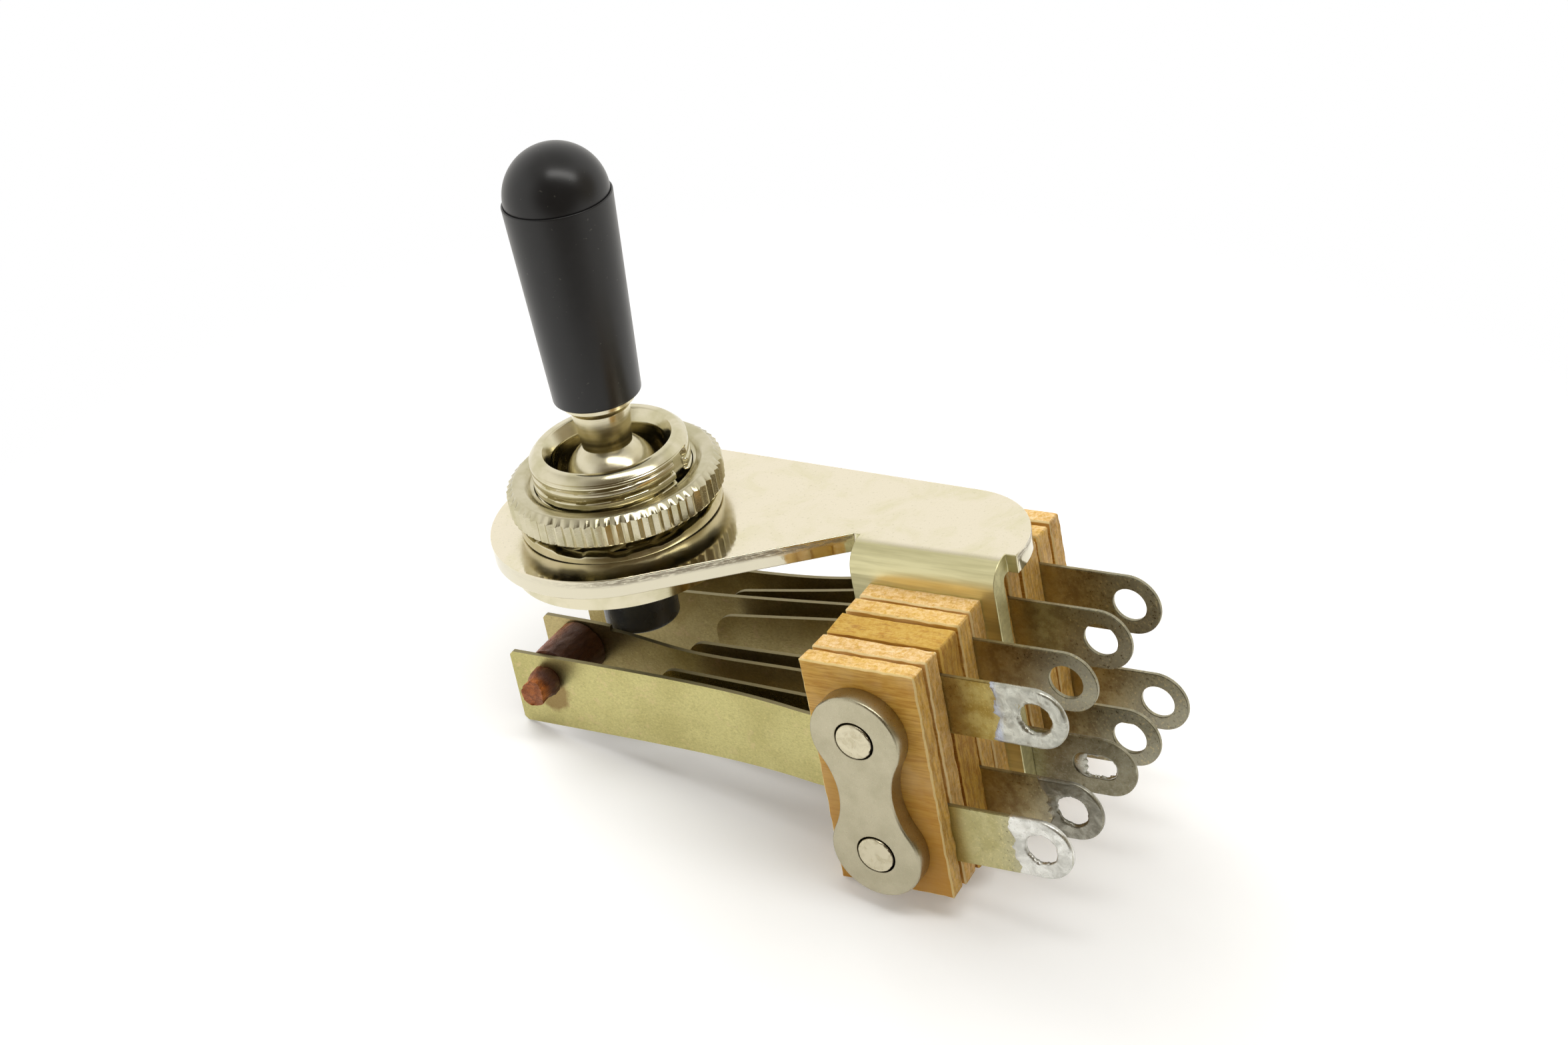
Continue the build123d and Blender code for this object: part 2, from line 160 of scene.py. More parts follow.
# Node graphs
class Graph:
    """A short way to write a node tree."""

    def __init__(self, tree):
        self.tree = tree
        self.splits = {}

    def put(self, socket, value):
        if isinstance(value, bpy.types.NodeSocket):
            self.tree.links.new(value, socket)
        else:
            socket.default_value = value

    def node(self, kind, **settings):
        made = self.tree.nodes.new("ShaderNode" + kind)
        for key, value in settings.items():
            setattr(made, key, value)
        return made

    def fill(self, made, names, *values):
        """Sets or links a node's sockets, and gives the node back."""
        for name, value in zip(names, values):
            self.put(made.inputs[name], value)
        return made

    def vector(self, operation, *values, names=(0, 1)):
        made = self.fill(self.node("VectorMath", operation=operation), names, *values)
        return made.outputs["Value" if operation in ("LENGTH", "DOT_PRODUCT") else "Vector"]

    def maths(self, operation, *values):
        return self.fill(self.node("Math", operation=operation), (0, 1), *values).outputs[0]

    def times(self, a, b):
        return self.maths("MULTIPLY", a, b)

    def plus(self, a, b):
        return self.maths("ADD", a, b)

    def spread(self, value, low, high, to_low=0.0, to_high=1.0):
        """A value's range from low to high, laid smoothly on another range."""
        made = self.node("MapRange", interpolation_type="SMOOTHSTEP")
        names = ("Value", "From Min", "From Max", "To Min", "To Max")
        return self.fill(made, names, value, low, high, to_low, to_high).outputs["Result"]

    def vary(self, value, low, high):
        """A number that follows a noise from low to high."""
        return self.spread(value, 0.3, 0.7, low, high)

    def blend(self, share, a, b):
        """Colour a at share 0 and colour b at share 1."""
        a, b = (c if isinstance(c, bpy.types.NodeSocket) else (*c, 1.0) for c in (a, b))
        return self.fill(self.node("Mix", data_type="RGBA"), ("Factor", 6, 7), share, a, b).outputs[2]

    def over(self, tone, colour, value, low, high, share=1.0):
        """Lays a colour over a tone: none where the value is at low, its share at high."""
        return self.blend(self.spread(value, low, high, 0.0, share), tone, colour)

    def between(self, share, a, b):
        """Number a at share 0 and number b at share 1."""
        return self.fill(self.node("Mix", data_type="FLOAT"), ("Factor", 2, 3), share, a, b).outputs[0]


class Look(Graph):
    """One material's nodes. Places are in millimetres."""

    def __init__(self, name, constants, rest_attribute=None):
        self.material = bpy.data.materials.new(name)
        self.material.use_nodes = True
        super().__init__(self.material.node_tree)
        self.shader = self.tree.nodes["Principled BSDF"]
        for socket, value in constants.items():
            self.shader.inputs[socket].default_value = value
        if rest_attribute:
            found = self.node("Attribute", attribute_name=rest_attribute).outputs["Vector"]
        else:
            found = self.node("TexCoord").outputs["Object"]
        self.place = self.vector("SCALE", found, PER_M, names=(0, "Scale"))

    def axis(self, letter, of="place"):
        """One part of the place, or of the direction that the surface faces."""
        if of not in self.splits:
            source = self.place if of == "place" else self.node("NewGeometry").outputs["Normal"]
            self.splits[of] = self.node("SeparateXYZ")
            self.put(self.splits[of].inputs[0], source)
        return self.splits[of].outputs[letter]

    def facing(self, letter):
        return self.axis(letter, of="normal")

    def stretched(self, x, y, z):
        """The place with each axis scaled, for grain that runs one way."""
        return self.vector("MULTIPLY", self.place, (x, y, z))

    def slanted(self, turn, scale):
        """The place turned about Y and scaled, for grain that slants across a face."""
        names = ("Vector", "Rotation", "Scale")
        made = self.fill(self.node("Mapping"), names, self.place, (0.0, turn, 0.0), scale)
        return made.outputs["Vector"]

    def beside(self, x, z):
        """How far the place is from a line along Y."""
        offset = self.vector("SUBTRACT", self.place, (x, 0.0, z))
        return self.vector("LENGTH", self.vector("MULTIPLY", offset, (1.0, 0.0, 1.0)))

    def noise(self, scale, detail=3.0, rough=0.55, at=None, twist=0.0):
        names = ("Vector", "Scale", "Detail", "Roughness", "Distortion")
        at = self.place if at is None else at
        return self.fill(self.node("TexNoise"), names, at, scale, detail, rough, twist).outputs["Fac"]

    def bump(self, height, size_mm):
        names = ("Height", "Distance", "Strength")
        made = self.fill(self.node("Bump"), names, height, size_mm * MM, 1.0)
        self.put(self.shader.inputs["Normal"], made.outputs["Normal"])

    def finish(self, colour, rough=None):
        self.put(self.shader.inputs["Base Color"], colour)
        if rough is not None:
            self.put(self.shader.inputs["Roughness"], rough)
        return self.material


def scaled(colour, factor, top=1.0):
    """A colour made darker or lighter, by one factor or by one for each channel."""
    factors = factor if isinstance(factor, tuple) else (factor,) * 3
    return [min(top, c * f) for c, f in zip(colour, factors)]


# Materials
def nickel(name, pale, tinted, rough_low, rough_high, grain_mm):
    """Warm nickel plate: cloudy tint, fine pits, and a soft unevenness that wobbles reflections."""
    g = Look(name, {"Metallic": 1.0})
    tone = g.over(pale, tinted, g.noise(0.35, detail=4.0, twist=0.6), 0.38, 0.66)
    tone = g.over(tone, scaled(tinted, 0.62), g.noise(5.0, detail=2.0), 0.60, 0.78, 0.35)
    rough = g.vary(g.noise(1.3, detail=5.0), rough_low, rough_high)
    g.bump(g.noise(14.0, detail=4.0), grain_mm)
    return g.finish(tone, rough)


def plate_nickel():
    """The folded sheet: glossy cream face, duller and greener on the bend and leg, torn edges."""
    g = Look("plate_nickel", {"Metallic": 1.0})
    clouds = g.noise(0.28, detail=5.0, rough=0.6, twist=0.6)
    specks = g.noise(4.0, detail=3.0)
    tone = g.over(PINK, OLIVE, clouds, 0.46, 0.78, 0.7)
    tone = g.over(tone, scaled(OLIVE, 0.62), specks, 0.58, 0.74, 0.3)
    on_leg = g.times(g.spread(g.facing("Z"), 0.99, 0.93), g.spread(g.axis("Y"), 1.7, 1.3))
    on_leg = g.times(on_leg, g.spread(g.axis("X"), LEG_X, LEG_X + 0.5))
    along = g.noise(1.2, detail=5.0, at=g.stretched(0.12, 2.0, 2.0))
    leg_tone = g.over((0.80, 0.755, 0.46), (0.66, 0.62, 0.36), along, 0.35, 0.65)
    tone = g.blend(on_leg, tone, leg_tone)
    edge = g.spread(g.maths("ABSOLUTE", g.facing("Z")), 0.35, 0.1)
    edge = g.times(edge, g.spread(g.axis("Z"), -SHEET_T - 0.05, -SHEET_T + 0.05))
    edge = g.times(edge, g.spread(on_leg, 0.5, 0.1))
    tone = g.blend(g.times(edge, 0.9), tone, (0.64, 0.60, 0.47))
    shear = g.noise(2.6, detail=6.0, rough=0.75, at=g.stretched(0.5, 0.5, 3.0))
    band = g.spread(g.axis("Z"), -0.1, -0.16)
    band = g.times(band, g.spread(g.axis("Z"), -0.75, -0.35))
    band = g.times(band, g.spread(g.axis("X"), -1.0, 6.0, 0.15, 1.0))
    torn = g.times(g.times(edge, band), g.spread(shear, 0.40, 0.58))
    tone = g.blend(torn, tone, (0.36, 0.32, 0.25))
    rough = g.between(on_leg, g.vary(g.noise(1.3, detail=5.0), 0.05, 0.10), g.vary(along, 0.38, 0.5))
    round_bushing = g.vector("LENGTH", g.stretched(1.0, 1.0, 0.0))
    rough = g.plus(rough, g.spread(round_bushing, 10.0, 8.6, 0.0, 0.16))
    rough = g.between(torn, rough, 0.42)
    heights = g.plus(g.times(specks, 0.2), g.times(torn, g.noise(9.0)))
    g.bump(heights, 0.008)
    return g.finish(tone, rough)


def turned_metal(name, pale, tinted, rough_low, rough_high, line_mm, lines_per_mm=9.0):
    """Plated metal from the lathe: fine rings, from noise that depends on radius and height."""
    g = Look(name, {"Metallic": 1.0})
    radius = g.vector("LENGTH", g.stretched(1.0, 1.0, 0.0))
    rings = g.fill(g.node("CombineXYZ"), "XZ", radius, g.axis("Z"))
    bands = g.noise(lines_per_mm, detail=3.0, rough=0.7, at=rings.outputs[0])
    g.bump(bands, line_mm)
    tone = g.over(pale, tinted, g.noise(0.5, detail=3.0), 0.35, 0.68)
    return g.finish(tone, g.spread(bands, 0.25, 0.75, rough_low, rough_high))


def leaf_metal(name, blade_pale, blade_dark, tab_pale, tab_dark, blade_rough=(0.2, 0.34)):
    """Rolled spring metal: yellow blades with slanting scratches, and tabs aged to grey-brown."""
    g = Look(name, {"Metallic": 1.0}, rest_attribute="rest")
    scratches = g.noise(3.4, detail=6.0, rough=0.72, at=g.slanted(math.radians(38.0), (1.0, 1.0, 9.0)))
    grain = g.noise(5.5, detail=3.0, rough=0.7)
    blade = g.over(blade_pale, blade_dark, g.noise(0.22, detail=3.0), 0.35, 0.7)
    blade = g.over(blade, scaled(blade_dark, 0.66), scratches, 0.44, 0.64, 0.5)
    blade = g.over(blade, scaled(blade_dark, 0.55), grain, 0.50, 0.72, 0.35)
    blade = g.over(blade, scaled(blade_pale, 1.18), grain, 0.46, 0.30, 0.4)
    pink = g.noise(0.9, detail=4.0, rough=0.7)
    blade = g.over(blade, scaled(blade_pale, (1.12, 0.96, 1.2)), pink, 0.56, 0.7, 0.4)
    blade = g.over(blade, (0.22, 0.17, 0.09), g.noise(7.0, detail=2.0), 0.66, 0.76, 0.5)
    stain = g.plus(g.beside(PUSHER_X, PUSHER_Z), g.noise(1.5, detail=4.0))
    blade = g.blend(g.spread(stain, 1.7, 2.3, 0.7, 0.0), blade, (0.20, 0.10, 0.035))
    pits = g.noise(4.5, detail=4.0, rough=0.7)
    tab = g.over(tab_pale, tab_dark, g.noise(0.8, detail=5.0, rough=0.65), 0.38, 0.64)
    grey = scaled([sum(tab_pale) / 3] * 3, (1.06, 1.05, 0.86))
    tab = g.over(tab, grey, g.axis("X"), 33.5, 37.0, 0.75)
    near_eye = g.spread(g.axis("X"), 33.0, 36.0, 0.4, 0.8)
    salt = g.times(g.spread(pits, 0.54, 0.68), near_eye)
    pepper = g.times(g.spread(pits, 0.45, 0.3), near_eye)
    tab = g.blend(salt, tab, scaled(tab_pale, 1.6))
    tab = g.blend(pepper, tab, scaled(tab_dark, 0.35))
    aged = g.plus(g.axis("X"), g.times(g.noise(0.9, detail=4.0), 3.0))
    share = g.spread(aged, STACK_X1 + 0.6, STACK_X1 + 3.6)
    tone = g.blend(share, blade, tab)
    rim = g.spread(g.maths("ABSOLUTE", g.facing("Y")), 0.6, 0.3)
    tone = g.blend(g.times(rim, g.between(share, 0.85, 0.3)), tone, (0.31, 0.275, 0.17))
    rough = g.between(share, g.vary(scratches, *blade_rough), g.vary(pits, 0.26, 0.5))
    rough = g.between(rim, rough, 0.5)
    relief = g.plus(scratches, g.times(pits, share))
    g.bump(g.between(rim, relief, 0.5), 0.005)
    return g.finish(tone, rough)


def tab_metal():
    """The ground lug: mottled grey-brown all over."""
    g = Look("aged_tab", {"Metallic": 1.0})
    pits = g.noise(4.5, detail=4.0, rough=0.7)
    blots = g.noise(0.8, detail=5.0, rough=0.65)
    tone = g.over((0.34, 0.32, 0.23), (0.22, 0.20, 0.13), blots, 0.38, 0.64)
    tone = g.over(tone, (0.52, 0.50, 0.42), pits, 0.5, 0.7, 0.6)
    tone = g.over(tone, (0.08, 0.07, 0.05), pits, 0.42, 0.3, 0.6)
    g.bump(pits, 0.012)
    return g.finish(tone, g.vary(pits, 0.26, 0.5))


def solder(name, bright, dull):
    """Old solder: grey and lumpy, with a bluish edge where it wetted the tab."""
    g = Look(name, {"Metallic": 0.9})
    lumps = g.noise(0.9, detail=5.0, rough=0.65, twist=0.6)
    fine = g.noise(6.0, detail=3.0)
    tone = g.over(bright, dull, lumps, 0.35, 0.65)
    blue = g.plus(g.axis("X"), g.times(g.noise(1.6, detail=3.0), 1.2))
    tone = g.over(tone, scaled(bright, (0.86, 0.95, 1.35)), blue, 35.7, 34.9, 0.8)
    tone = g.over(tone, scaled(dull, 0.45), fine, 0.58, 0.74, 0.45)
    g.bump(g.plus(lumps, g.times(fine, 0.3)), 0.05)
    return g.finish(tone, g.vary(lumps, 0.24, 0.42))


def phenolic(name, tan, dark, pale_cut_and_highlight, streak_turn):
    """Laminated phenolic paper: streaked sawn faces and mottled, paler cut edges, with painted shade low
    down and on the faces towards the tabs, and a painted highlight on the broken edges.
    """
    g = Look(name, {"Specular IOR Level": 0.35})
    across = g.maths("ABSOLUTE", g.facing("Y"))
    streaks = g.noise(1.5, detail=5.0, rough=0.7, at=g.slanted(streak_turn, (0.3, 2.0, 5.0)))
    flecks = g.noise(2.4, detail=6.0, rough=0.8, twist=0.4)
    face = g.over(tan, dark, streaks, 0.36, 0.66)
    face = g.over(face, pale_cut_and_highlight, g.noise(0.3, detail=3.0), 0.4, 0.7, 0.5)
    # Painted shade: the sawn faces darken towards the bottom, away from the overhead light.
    face = g.over(face, dark, g.axis("Z"), -6.0, -20.0, 0.8)
    cut = g.over(pale_cut_and_highlight, scaled(tan, 0.92), flecks, 0.38, 0.62)
    plies = g.noise(6.0, detail=2.0, at=g.stretched(0.12, 1.6, 0.12))
    cut = g.over(cut, dark, plies, 0.5, 0.68, 0.55)
    cut = g.over(cut, (0.26, 0.17, 0.08), flecks, 0.58, 0.70, 0.7)
    # Painted shade: the cut faces that face +X, towards the tabs, turn darker and mottled.
    side_mottling = g.noise(1.6, detail=5.0, rough=0.7, at=g.stretched(1.0, 2.2, 0.35))
    shaded_side = g.over(scaled(tan, 0.9), scaled(dark, 0.55), side_mottling, 0.36, 0.62)
    cut = g.over(cut, shaded_side, g.facing("X"), 0.5, 0.85, 0.62)
    stains = g.noise(1.1, detail=5.0, rough=0.7, at=g.stretched(0.5, 1.4, 1.0))
    cut = g.over(cut, scaled(dark, 0.75), stains, 0.54, 0.68, 0.55)
    tone = g.blend(g.spread(across, 0.55, 0.85), cut, face)
    # Painted highlight: the broken edges between sawn and cut faces are made paler.
    corner = g.times(g.spread(across, 0.25, 0.5), g.spread(across, 0.97, 0.85))
    tone = g.blend(g.times(corner, 0.6), tone, scaled(pale_cut_and_highlight, 1.2, top=0.9))
    g.bump(g.plus(g.times(streaks, 0.6), flecks), 0.03)
    return g.finish(tone, g.vary(flecks, 0.42, 0.68))


def towards_lower_right(g, rivet_z):
    """A share that grows from a rivet's upper left to its lower right, for the painted shadow round it.
    """
    across = g.maths("SUBTRACT", g.axis("X"), g.axis("Z"))
    middle = RIVET_X - rivet_z
    return g.spread(across, middle - 1.6, middle + 0.8, 0.3, 1.0)


def clamp_steel():
    """Satin plate with fine grit, and a dark ring round each rivet, faint to its upper left and
    deepening to its lower right as painted shadow.
    """
    g = Look("clamp_plate", {"Metallic": 1.0})
    grit = g.noise(9.0, detail=4.0, rough=0.7)
    clouds = g.noise(0.4, detail=3.0)
    tone = g.over((0.49, 0.45, 0.325), (0.42, 0.385, 0.27), clouds, 0.35, 0.7)
    tone = g.over(tone, (0.30, 0.27, 0.19), grit, 0.55, 0.75, 0.3)
    for z in RIVET_Z:
        radius = g.plus(g.beside(RIVET_X, z), g.times(clouds, 0.5))
        near = g.spread(radius, 1.66, 1.9, 0.75, 0.0)
        # Painted shadow: the ring darkens most towards each rivet's lower right.
        tone = g.blend(g.times(near, towards_lower_right(g, z)), tone, (0.10, 0.08, 0.06))
    g.bump(grit, 0.006)
    return g.finish(tone, g.vary(grit, 0.26, 0.38))


def rivet_steel():
    """A rivet's flattened end: pale and scuffed, with a dark rim where it meets the plate, faint to its
    upper left and deepening to its lower right as painted shadow.
    """
    g = Look("rivet_end", {"Metallic": 1.0})
    scuffs = g.noise(1.1, detail=4.0, rough=0.6, twist=0.8)
    tone = g.over((0.62, 0.57, 0.42), (0.50, 0.45, 0.31), scuffs, 0.4, 0.7)
    for z in RIVET_Z:
        radius = g.beside(RIVET_X, z)
        rim = g.times(g.spread(radius, 1.33, 1.41, 0.0, 0.8), g.spread(radius, 2.5, 2.4))
        # Painted shadow: the rim darkens most towards the rivet's lower right.
        tone = g.blend(g.times(rim, towards_lower_right(g, z)), tone, (0.16, 0.13, 0.10))
    g.bump(scuffs, 0.03)
    return g.finish(tone, g.vary(scuffs, 0.2, 0.3))


def black_plastic(name, tone_low, tone_high, rough_low, rough_high):
    """Moulded black plastic: satin, with dust specks and faint rubbing."""
    g = Look(name, {"Specular IOR Level": 0.4})
    rub = g.noise(0.35, detail=3.0)
    tone = g.over(tone_low, tone_high, rub, 0.3, 0.7)
    tone = g.over(tone, (0.12, 0.115, 0.10), g.noise(4.2, detail=1.0, rough=0.3), 0.76, 0.8, 0.35)
    g.bump(g.noise(11.0, detail=3.0), 0.0006)
    return g.finish(tone, g.vary(rub, rough_low, rough_high))


def red_fibre(name, reach):
    """Vulcanised fibre: dark varnished sides with painted shade towards +X, and orange where its stud's
    end was cut and chipped.
    """
    g = Look(name, {"Specular IOR Level": 0.45})
    fibres = g.noise(2.6, detail=6.0, rough=0.75, at=g.stretched(1.0, 0.5, 1.6), twist=0.5)
    tone = g.over((0.36, 0.105, 0.03), (0.13, 0.035, 0.015), fibres, 0.34, 0.64)
    tone = g.over(tone, (0.44, 0.20, 0.07), g.noise(0.9, detail=3.0), 0.5, 0.75, 0.5)
    # Painted shade: darker towards +X, the pusher's side away from the light.
    tone = g.over(tone, (0.055, 0.018, 0.009), g.axis("X"), -4.9, -3.3, 0.85)
    at_end = g.spread(g.maths("ABSOLUTE", g.axis("Y")), reach - 1.4, reach - 0.4)
    raw = g.times(at_end, g.spread(fibres, 0.3, 0.6, 0.95, 0.35))
    tone = g.blend(raw, tone, (0.60, 0.17, 0.025))
    g.bump(fibres, 0.09)
    return g.finish(tone, g.vary(fibres, 0.3, 0.6))


def paper_tube():
    """The rivets' insulating sleeves."""
    g = Look("rivet_sleeve", {"Roughness": 0.7})
    wound = g.noise(3.0, detail=4.0, at=g.stretched(1.0, 4.0, 1.0))
    g.bump(wound, 0.02)
    return g.finish(g.over((0.42, 0.26, 0.12), (0.30, 0.17, 0.07), wound, 0.35, 0.65))


def contact_silver():
    """Silver contacts under a brown film."""
    g = Look("contact_silver", {"Metallic": 1.0})
    film = g.noise(2.0, detail=4.0)
    g.bump(film, 0.01)
    tone = g.over((0.70, 0.67, 0.62), (0.46, 0.41, 0.34), film, 0.35, 0.65)
    return g.finish(tone, g.vary(film, 0.25, 0.42))


OLIVE = (0.70, 0.66, 0.42)
PINK = (0.82, 0.755, 0.60)
PALE_NUT = (0.60, 0.555, 0.41)
DARK_NUT = (0.49, 0.455, 0.295)
PALE_BUSHING = (0.68, 0.63, 0.47)
DARK_BUSHING = (0.56, 0.52, 0.34)
YELLOW = (0.59, 0.54, 0.24)
YELLOW_DARK = (0.49, 0.44, 0.18)
# Painted shade: a darker, browner blade colour for the leaves that sit among the others under the plate;
# the near d leaf keeps the lighter yellow.
SHADED_BLADE = (0.50, 0.415, 0.20)
SHADED_BLADE_DARK = (0.36, 0.28, 0.11)


def box_mm(node):
    """A CAD node's box at rest, in millimetres."""
    return [corner * PER_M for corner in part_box(node)]


def pusher_reach(side):
    """How far a pusher's outer end stands from the middle plane."""
    return max(abs(corner.y) for corner in box_mm(side + "_pusher"))


looks = {
    "plate": plate_nickel(),
    "bushing": turned_metal("bushing_nickel", PALE_BUSHING, DARK_BUSHING, 0.10, 0.2, 0.004),
    "nut": turned_metal("nut_nickel", PALE_NUT, DARK_NUT, 0.14, 0.28, 0.006),
    "washer": nickel("washer_nickel", PALE_BUSHING, DARK_BUSHING, 0.10, 0.2, 0.003),
    "lever": turned_metal("lever_metal", (0.70, 0.65, 0.49), (0.62, 0.56, 0.38),
                          0.17, 0.27, 0.002, 4.0),
    "tip": black_plastic("tip_plastic", (0.013, 0.013, 0.0145), (0.016, 0.016, 0.0175), 0.28, 0.33),
    "cam": black_plastic("cam_plastic", (0.048, 0.050, 0.053), (0.056, 0.058, 0.061), 0.24, 0.3),
    # The spring and brass leaves get blades in painted shade, darker than the near d leaf's.
    "leaf": leaf_metal("spring_leaf", SHADED_BLADE, SHADED_BLADE_DARK,
                       (0.47, 0.415, 0.25), (0.30, 0.24, 0.13), (0.26, 0.42)),
    "lit_leaf": leaf_metal("lit_leaf", YELLOW, YELLOW_DARK,
                             (0.50, 0.46, 0.24), (0.42, 0.38, 0.18), (0.34, 0.46)),
    "brass_leaf": leaf_metal("brass_leaf", SHADED_BLADE, SHADED_BLADE_DARK, (0.46, 0.37, 0.13), (0.32, 0.22, 0.05)),
    "tab": tab_metal(),
    "solder": solder("old_solder", (0.60, 0.60, 0.53), (0.42, 0.42, 0.37)),
    "bright_solder": solder("bright_solder", (0.82, 0.82, 0.78), (0.56, 0.56, 0.52)),
    "dull_solder": solder("dull_solder", (0.40, 0.39, 0.33), (0.22, 0.21, 0.17)),
    "clamp": clamp_steel(),
    "rivet": rivet_steel(),
    "near_fibre": red_fibre("near_pusher_fibre", pusher_reach("near")),
    "far_fibre": red_fibre("far_pusher_fibre", pusher_reach("far")),
    "sleeve": paper_tube(),
    "contact": contact_silver(),
    "tan": phenolic("phenolic_tan", (0.78, 0.47, 0.09), (0.56, 0.26, 0.03),
                    (0.86, 0.62, 0.30), 0.04),
    "amber": phenolic("phenolic_amber", (0.60, 0.34, 0.05), (0.40, 0.14, 0.015),
                      (0.64, 0.42, 0.09), -0.05),
    "pale": phenolic("phenolic_pale", (0.76, 0.45, 0.10), (0.58, 0.29, 0.04),
                     (0.88, 0.65, 0.36), 0.02),
}


# Mesh helpers
@contextmanager
def editing(mesh):
    """Opens a mesh for editing and writes the result back."""
    bm = bmesh.new()
    bm.from_mesh(mesh)
    yield bm
    bm.to_mesh(mesh)
    bm.free()


def smooth_by_angle(mesh, limit=38.0):
    """Smooth faces, with edges sharper than the limit in degrees kept sharp."""
    with editing(mesh) as bm:
        for face in bm.faces:
            face.smooth = True
        for edge in bm.edges:
            flat = edge.calc_face_angle(0.0) < math.radians(limit)
            edge.smooth = len(edge.link_faces) != 2 or flat


def placed(name, data):
    """A new object in the scene."""
    obj = bpy.data.objects.new(name, data)
    bpy.context.scene.collection.objects.link(obj)
    return obj


def piece(name, vertices, faces, look, slot, body=BODY, replaces=(), matrix=None, limit=38.0):
    """A new piece from points in millimetres."""
    mesh = bpy.data.meshes.new(name)
    mesh.from_pydata([Vector(v) * MM for v in vertices], [], faces)
    if matrix is not None:
        mesh.transform(matrix)
    mesh.update()
    smooth_by_angle(mesh, limit)
    return add(name, mesh, look, replaces, body)


def add(name, mesh, look, replaces, body=BODY):
    """Links a mesh as a piece, with its material, body and the CAD nodes that it stands for."""
    obj = placed(name, mesh)
    mesh.materials.clear()
    mesh.materials.append(looks[look])
    if body:
        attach(obj, body)
    if replaces:
        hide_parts(*replaces)
    return obj


def grid_faces(columns, rows, close_rows=False):
    """Quads over a closed ring of columns of points, stored column by column."""
    faces = []
    for c in range(columns):
        here, beside = c * rows, (c + 1) % columns * rows
        for r in range(rows if close_rows else rows - 1):
            above = (r + 1) % rows
            faces.append((here + r, beside + r, beside + above, here + above))
    return faces


def round_axis(angle, outline):
    """The points of a (radius, z) outline at an angle round the Z axis."""
    return [(r * math.cos(angle), r * math.sin(angle), z) for r, z in outline]


def rounded(points, steps=5):
    """An outline whose corners are rounded. Each point is (radius, z) or (radius, z, round)."""
    out = []
    for i, point in enumerate(points):
        size = point[2] if len(point) > 2 else 0.0
        here = Vector(point[:2])
        if size <= 0 or i in (0, len(points) - 1):
            out.append(here)
            continue
        to_last = (Vector(points[i - 1][:2]) - here).normalized()
        to_next = (Vector(points[i + 1][:2]) - here).normalized()
        start, end = here + to_last * size, here + to_next * size
        for k in range(steps + 1):
            t = k / steps
            out.append(start * (1 - t) ** 2 + here * 2 * t * (1 - t) + end * t * t)
    return [tuple(p) for p in out]


def arc_points(centre_z, radius, from_deg, to_deg, steps):
    """(radius, z) points on a circle centred on the axis; 90 degrees is its top."""
    angles = [math.radians(from_deg + (to_deg - from_deg) * k / steps) for k in range(steps + 1)]
    return [(radius * math.cos(a), centre_z + radius * math.sin(a)) for a in angles]


def lathe(name, outline, look, slot, steps=144, **options):
    """A turned piece: an outline of (radius, z) from end to end, closed where it meets the axis."""
    vertices = []
    for c in range(steps):
        vertices += round_axis(TURN * c / steps, outline)
    made = piece(name, vertices, grid_faces(steps, len(outline)), look, slot, **options)
    with editing(made.data) as bm:
        bmesh.ops.remove_doubles(bm, verts=bm.verts, dist=1e-7)
        bmesh.ops.recalc_face_normals(bm, faces=bm.faces)


def tidy_copy(node):
    """The CAD node's mesh, welded and with its flat faces whole."""
    source = nodes[node].data
    mesh = bpy.data.meshes.new(node + "_finished")
    points = [v.co.copy() for v in source.vertices]
    mesh.from_pydata(points, [], [tuple(p.vertices) for p in source.polygons])
    with editing(mesh) as bm:
        bmesh.ops.remove_doubles(bm, verts=bm.verts, dist=2e-6)
        bmesh.ops.dissolve_limit(bm, angle_limit=FLATNESS, verts=bm.verts, edges=bm.edges)
        bmesh.ops.recalc_face_normals(bm, faces=bm.faces)
    return mesh


def sliced(mesh, axis, start, stop, step):
    """Cuts a mesh across an axis at even steps, so that it can bend or roughen."""
    normal = Vector([float(i == axis) for i in range(3)])
    count = max(1, round((stop - start) / step))
    with editing(mesh) as bm:
        for i in range(1, count):
            point = normal * (start + (stop - start) * i / count) * MM
            everything = bm.verts[:] + bm.edges[:] + bm.faces[:]
            bmesh.ops.bisect_plane(bm, geom=everything, plane_co=point, plane_no=normal, dist=1e-7)


def bevelled(mesh, width_mm, from_x):
    """Breaks the sharp edges beyond an x, in the mesh itself."""
    with editing(mesh) as bm:
        sharp = [e for e in bm.edges
                 if len(e.link_faces) == 2 and e.calc_face_angle(0.0) > math.radians(40.0)
                 and min(v.co.x for v in e.verts) > from_x * MM]
        bmesh.ops.bevel(bm, geom=sharp, offset=width_mm * MM, segments=2,
                        affect="EDGES", clamp_overlap=True)


def edge_bevel(obj, width_mm, angle=30.0):
    """Breaks the sharp edges a little, with flat faces that still shade flat."""
    bevel = obj.modifiers.new("broken_edges", "BEVEL")
    bevel.width = width_mm * MM
    bevel.segments = 2
    bevel.limit_method = "ANGLE"
    bevel.angle_limit = math.radians(angle)
    bevel.use_clamp_overlap = True
    for polygon in obj.data.polygons:
        polygon.use_smooth = True
    obj.modifiers.new("flat_shading", "WEIGHTED_NORMAL").weight = 80


def finished(node, look, bevel_mm):
    """A CAD node's own shape with broken edges and its finish."""
    edge_bevel(add("finished_" + node, tidy_copy(node), look, (node,)), bevel_mm)


def hash_noise(*numbers):
    """A fixed pseudo-random value from -1 to 1."""
    return noise.noise(Vector([n * 1.37 + 0.11 for n in (*numbers, 0.0, 0.0)[:3]])) * 2.0


def smooth_step(value, low, high):
    t = min(1.0, max(0.0, (value - low) / (high - low)))
    return t * t * (3 - 2 * t)


